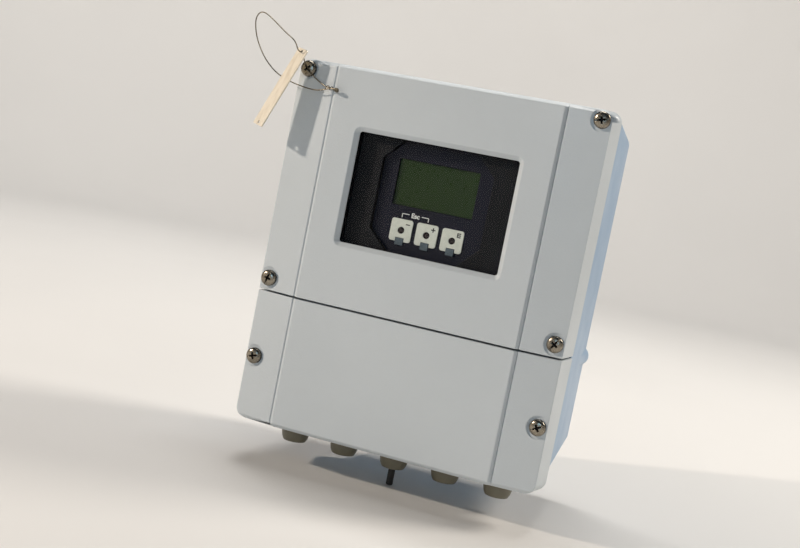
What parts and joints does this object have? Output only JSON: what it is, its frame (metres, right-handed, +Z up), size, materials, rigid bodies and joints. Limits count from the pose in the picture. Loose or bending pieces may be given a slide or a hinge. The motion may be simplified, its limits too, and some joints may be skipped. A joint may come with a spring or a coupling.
{
  "type": "electromagnetic flow meter transmitter",
  "caption": "Wall-mount transmitter of an electromagnetic flow meter: two-part die-cast front over a drafted housing, display window, cable glands and a wire seal with tag.",
  "frame": {"origin": "midway between the two wall bores, on the wall plane", "axes": "+X to the reader's right, +Y into the wall, +Z up; the display faces -Y"},
  "size_m": [0.2454, 0.1527, 0.2976],
  "materials": {
    "powder_coat": "light grey powder coat with a fine orange peel",
    "housing_paint": "pale blue powder coat with a fine orange peel",
    "window_glass": "clear polished",
    "seal_rubber": "matt black",
    "screw_steel": "turned, bright",
    "black_plastic": "matt, fine texture",
    "display_plate": "satin",
    "lcd_glass": "glossy",
    "key_field": "printed foil, satin",
    "key_tab": "satin",
    "sensor_dome": "glossy dark infrared window",
    "circuit_board": "solder mask",
    "carrier_plastic": "moulded",
    "sheet_metal": "zinc-plated sheet",
    "transformer_core": "varnished",
    "terminal_plastic": "moulded",
    "terminal_brass": "nickel-free brass",
    "gland_plastic": "grey polyamide",
    "plug_plastic": "black polyamide",
    "tag_metal": "plain stamped plate",
    "seal_wire": "drawn"
  },
  "bodies": {
    "root": {"amplifier_card": "circuit_board", "blind_plug": "plug_plastic", "cover_screw_lower_left": "screw_steel", "cover_screw_lower_right": "screw_steel", "cover_screw_middle_left": "screw_steel", "cover_screw_middle_right": "screw_steel", "cover_screw_upper_left": "screw_steel", "cover_screw_upper_right": "screw_steel", "display_board": "circuit_board", "display_mask": "black_plastic", "display_plate": "display_plate", "gland_body_1": "gland_plastic", "gland_body_2": "gland_plastic", "gland_body_3": "gland_plastic", "gland_body_4": "gland_plastic", "gland_body_5": "gland_plastic", "gland_nut_1": "gland_plastic", "gland_nut_2": "gland_plastic", "gland_nut_3": "gland_plastic", "gland_nut_4": "gland_plastic", "gland_nut_5": "gland_plastic", "gland_seal_1": "seal_rubber", "gland_seal_2": "seal_rubber", "gland_seal_3": "seal_rubber", "gland_seal_4": "seal_rubber", "gland_seal_5": "seal_rubber", "gland_washers": "gland_plastic", "ground_screw": "screw_steel", "key_enter": "key_field", "key_minus": "key_field", "key_plus": "key_field", "key_sensors": "sensor_dome", "key_tabs": "key_tab", "lcd_panel": "lcd_glass", "lower_cover": "powder_coat", "lower_gasket": "seal_rubber", "module_carrier": "carrier_plastic", "module_lid": "sheet_metal", "module_screws": "screw_steel", "output_card": "circuit_board", "pane_retainer": "black_plastic", "power_card": "circuit_board", "power_terminals": "terminal_plastic", "rear_housing": "housing_paint", "retainer_screws": "screw_steel", "seal_wire_long": "seal_wire", "seal_wire_short": "seal_wire", "sensor_terminals": "terminal_plastic", "signal_terminals": "terminal_plastic", "tag_plate": "tag_metal", "terminal_board": "circuit_board", "terminal_board_screws": "screw_steel", "terminal_screws": "terminal_brass", "transformer": "transformer_core", "upper_cover": "powder_coat", "upper_gasket": "seal_rubber", "window_gasket": "seal_rubber", "window_pane": "window_glass"}
  },
  "joints": []
}
